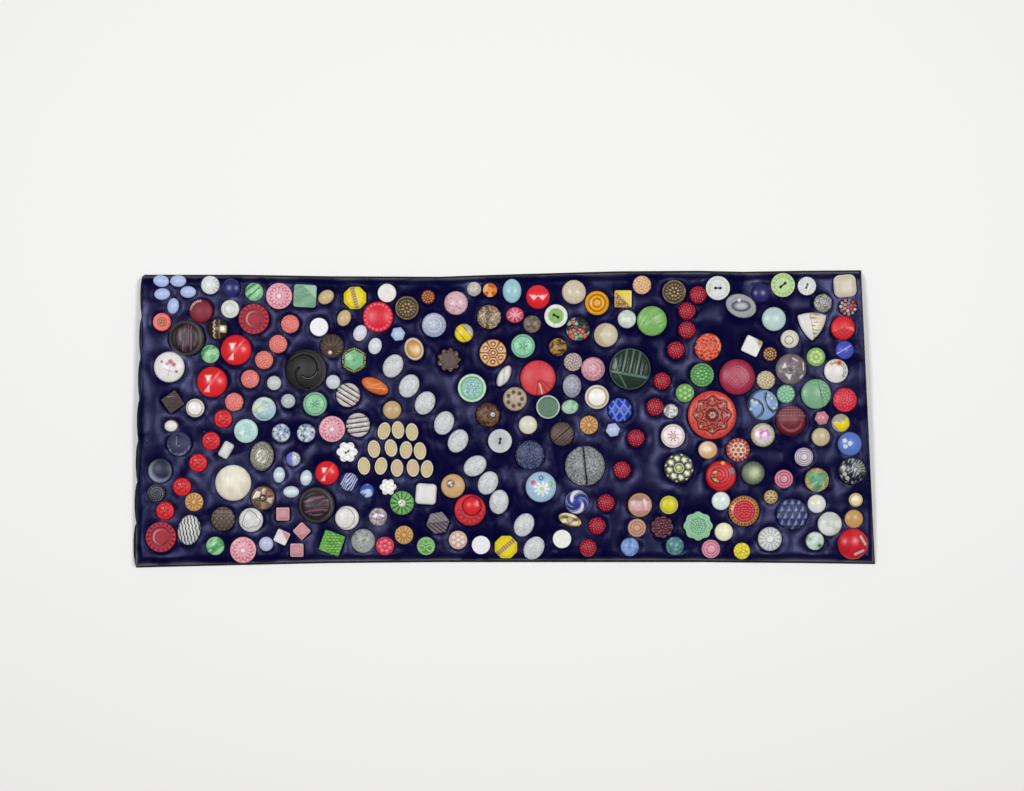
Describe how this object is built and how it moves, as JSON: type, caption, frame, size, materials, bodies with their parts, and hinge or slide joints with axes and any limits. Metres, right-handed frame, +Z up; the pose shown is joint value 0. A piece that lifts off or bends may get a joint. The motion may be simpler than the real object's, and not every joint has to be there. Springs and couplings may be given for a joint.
{
  "type": "card of buttons",
  "caption": "Collection card: pressed-glass, pearl, crystal and metal buttons in many forms and colours, sewn all over a wadded navy satin pad on a black backing cloth.",
  "frame": {"origin": "middle of the flat underside of the backing cloth", "axes": "+X along the card, +Y towards its far edge, +Z up through the buttons"},
  "size_m": [0.5592, 0.2242, 0.0165],
  "materials": {
    "satin": "navy satin with a soft sheen",
    "backing": "matt black cloth",
    "red_glass": "opaque pressed glass, glossy",
    "green_glass": "opaque pressed glass, glossy",
    "blue_glass": "opaque and moonglow glass, glossy",
    "white_glass": "opal and pearl glass, glossy",
    "cream_glass": "opal glass, glossy",
    "pink_glass": "opal glass, glossy",
    "yellow_glass": "opaque glass, glossy",
    "tan_glass": "opaque glass, glossy",
    "brown_glass": "opaque pressed glass with lustre",
    "dark_glass": "dark pressed glass with lustre",
    "crystal": "cut glass with a foiled back",
    "gilt_metal": "gilt and lustre faces",
    "gloss_plastic": "polished moulded plastic"
  },
  "bodies": {
    "root": {"backing_cloth": "backing", "satin_pad": "satin", "pale_blue_oval_buttons": "blue_glass", "tan_oval_buttons": "tan_glass", "white_oval_buttons": "white_glass", "crackle_oval_buttons": "white_glass", "cream_oval_buttons": "cream_glass", "coral_flower_buttons": "red_glass", "red_flower_buttons": "red_glass", "red_bead_buttons": "red_glass", "red_facet_buttons": "red_glass", "red_daisy_buttons": "red_glass", "pink_lace_buttons": "pink_glass", "white_dome_buttons": "white_glass", "pearl_dome_buttons": "white_glass", "cream_dome_buttons": "cream_glass", "pink_cube_buttons": "pink_glass", "green_swirl_buttons": "green_glass", "lustre_dome_buttons": "blue_glass", "crystal_buttons": "crystal", "oval_eye_buttons": "dark_glass", "tan_spoke_buttons": "tan_glass", "yellow_octagon_buttons": "yellow_glass", "striped_white_buttons": "white_glass", "black_spiral_button": "dark_glass", "green_fan_button": "green_glass", "split_grey_button": "dark_glass", "red_medallion_button": "red_glass", "red_fan_button": "red_glass", "crimson_ring_button": "red_glass", "mauve_turbine_button": "dark_glass", "red_knob_button": "red_glass", "green_plate_buttons": "green_glass", "lace_buttons": "gilt_metal", "hexagon_buttons": "blue_glass", "square_buttons": "white_glass", "pillow_buttons": "white_glass", "basket_square_button": "green_glass", "triangle_button": "white_glass", "sew_through_buttons": "gloss_plastic", "flower_buttons": "gloss_plastic", "navy_pyramid_button": "blue_glass", "mesh_buttons": "blue_glass", "crystal_ring_button": "crystal", "saturn_buttons": "gilt_metal", "carved_green_buttons": "green_glass", "carved_brown_buttons": "brown_glass", "carved_red_buttons": "red_glass", "cut_red_buttons": "red_glass", "blue_dome_buttons": "blue_glass", "navy_glass_buttons": "blue_glass", "yellow_round_buttons": "yellow_glass", "pink_round_buttons": "pink_glass", "grain_buttons": "brown_glass", "tan_round_buttons": "tan_glass", "metal_lustre_buttons": "gilt_metal", "oblong_buttons": "white_glass", "painted_buttons": "white_glass", "green_spoke_button": "green_glass", "carved_white_buttons": "white_glass"}
  },
  "joints": []
}
